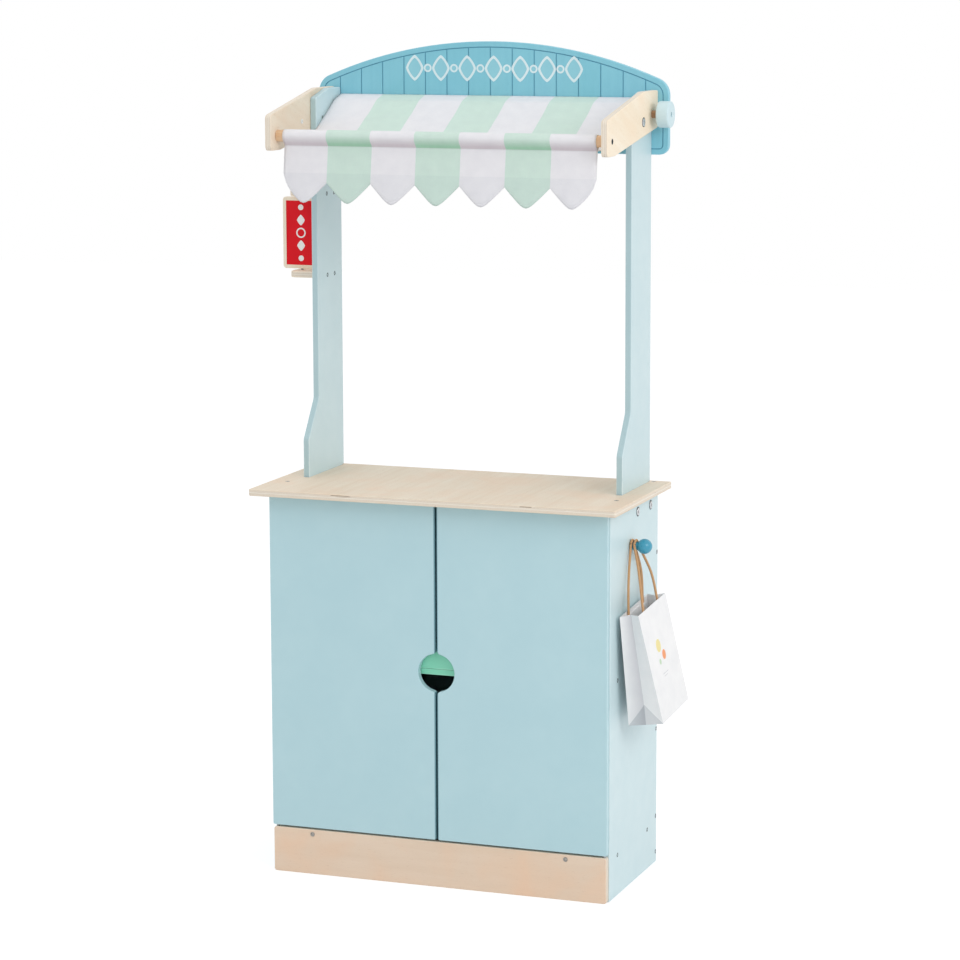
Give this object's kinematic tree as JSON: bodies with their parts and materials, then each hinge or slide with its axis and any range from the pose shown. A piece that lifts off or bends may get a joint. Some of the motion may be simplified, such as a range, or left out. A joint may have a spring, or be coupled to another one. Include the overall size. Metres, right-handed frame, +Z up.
{
  "type": "play shop and puppet theatre",
  "caption": "Wooden play shop and puppet theatre: cabinet with hinged doors, counter, posts, striped awning, curtain roller, flip sign and a bag on a peg.",
  "frame": {"origin": "middle of the plinth's underside, on the floor, under the doors", "axes": "+X to the right seen from the front, +Y to the back, +Z up"},
  "size_m": [0.6888, 0.2903, 1.304],
  "materials": {
    "door_blue": "light blue satin paint on board",
    "post_blue": "pale blue satin paint on board",
    "arch_blue": "mid blue satin paint on board with routed plank grooves",
    "knob_blue": "light blue satin paint on turned wood",
    "peg_blue": "blue gloss paint on a turned peg",
    "natural_ply": "clear-lacquered pale plywood with visible edges",
    "shelf_mint": "mint green satin paint on board",
    "inner_board": "dark board inside the cabinet",
    "awning_cloth": "cotton with white and mint stripes",
    "curtain_cloth": "plain mint cotton",
    "sign_red": "red satin panel in a natural wood border",
    "white_paper": "folded white paper",
    "paper_cord": "brown twisted paper cord",
    "steel": "zinc-plated steel"
  },
  "bodies": {
    "root": {"arch_screw_left_lower": "steel", "arch_screw_left_upper": "steel", "arch_screw_right_lower": "steel", "arch_screw_right_upper": "steel", "arched_board": "arch_blue", "awning_cloth": "awning_cloth", "awning_fastening_strip": "awning_cloth", "back_panel": "post_blue", "bottom_panel": "inner_board", "bracket_bolt_left": "steel", "bracket_bolt_right": "steel", "bracket_left": "natural_ply", "bracket_right": "natural_ply", "counter_screw_left_front": "steel", "counter_screw_left_rear": "steel", "counter_screw_right_front": "steel", "counter_screw_right_rear": "steel", "countertop": "natural_ply", "door_magnet_left": "steel", "door_magnet_right": "steel", "door_pin_left_foot": "steel", "door_pin_left_head": "steel", "door_pin_right_foot": "steel", "door_pin_right_head": "steel", "front_rod": "natural_ply", "middle_shelf": "shelf_mint", "peg": "peg_blue", "plinth": "natural_ply", "plinth_screw_left": "steel", "plinth_screw_right": "steel", "post_bolt_left_front": "steel", "post_bolt_left_rear": "steel", "post_bolt_right_front": "steel", "post_bolt_right_rear": "steel", "post_left": "post_blue", "post_right": "post_blue", "rod_screw_left": "steel", "rod_screw_right": "steel", "shelf_rail": "shelf_mint", "side_panel_left": "post_blue", "side_panel_right": "post_blue", "sign_holder_lower": "natural_ply", "sign_holder_upper": "natural_ply", "sign_pin_lower": "steel", "sign_pin_upper": "steel"},
    "door_left": {"door_left": "door_blue", "strike_disc_left": "steel"},
    "door_right": {"door_right": "door_blue", "strike_disc_right": "steel"},
    "curtain_roller": {"roller_dowel": "natural_ply", "curtain_roll": "curtain_cloth", "knob_left": "knob_blue", "knob_right": "knob_blue"},
    "hem_bar": {"hem_bar": "natural_ply", "curtain_cloth": "curtain_cloth"},
    "flip_sign": {"flip_sign": "sign_red"},
    "bag": {"paper_bag": "white_paper", "bag_handle_inner": "paper_cord", "bag_handle_outer": "paper_cord"}
  },
  "joints": [
    {"name": "door_left_hinge", "type": "hinge", "parent": "root", "child": "door_left", "pos_m": [-0.2725, 0, 0.34], "axis": [0, 0, -1], "range_deg": [0, 90]},
    {"name": "door_right_hinge", "type": "hinge", "parent": "root", "child": "door_right", "pos_m": [0.2725, 0, 0.34], "axis": [0, 0, 1], "range_deg": [0, 90]},
    {"name": "curtain_roller_turn", "type": "hinge", "parent": "root", "child": "curtain_roller", "pos_m": [0, 0.2145, 1.195], "axis": [-1, 0, 0], "range_deg": [0, 3150]},
    {"name": "curtain_drop", "type": "slide", "parent": "root", "child": "hem_bar", "axis": [0, 0, -1], "range_m": [0, 0.5225], "deforming": ["curtain_cloth"]},
    {"name": "flip_sign_turn", "type": "hinge", "parent": "root", "child": "flip_sign", "pos_m": [-0.3065, 0.1986, 0.998], "axis": [0, 0, 1], "continuous": true},
    {"name": "bag_swing", "type": "hinge", "parent": "root", "child": "bag", "pos_m": [0.2785, 0.1068, 0.539], "axis": [1, 0, 0], "range_deg": [-45, 45]}
  ],
  "couplings": [
    {"joint": "curtain_drop", "follows": "curtain_roller_turn", "m_per_rad": 0.0095}
  ]
}
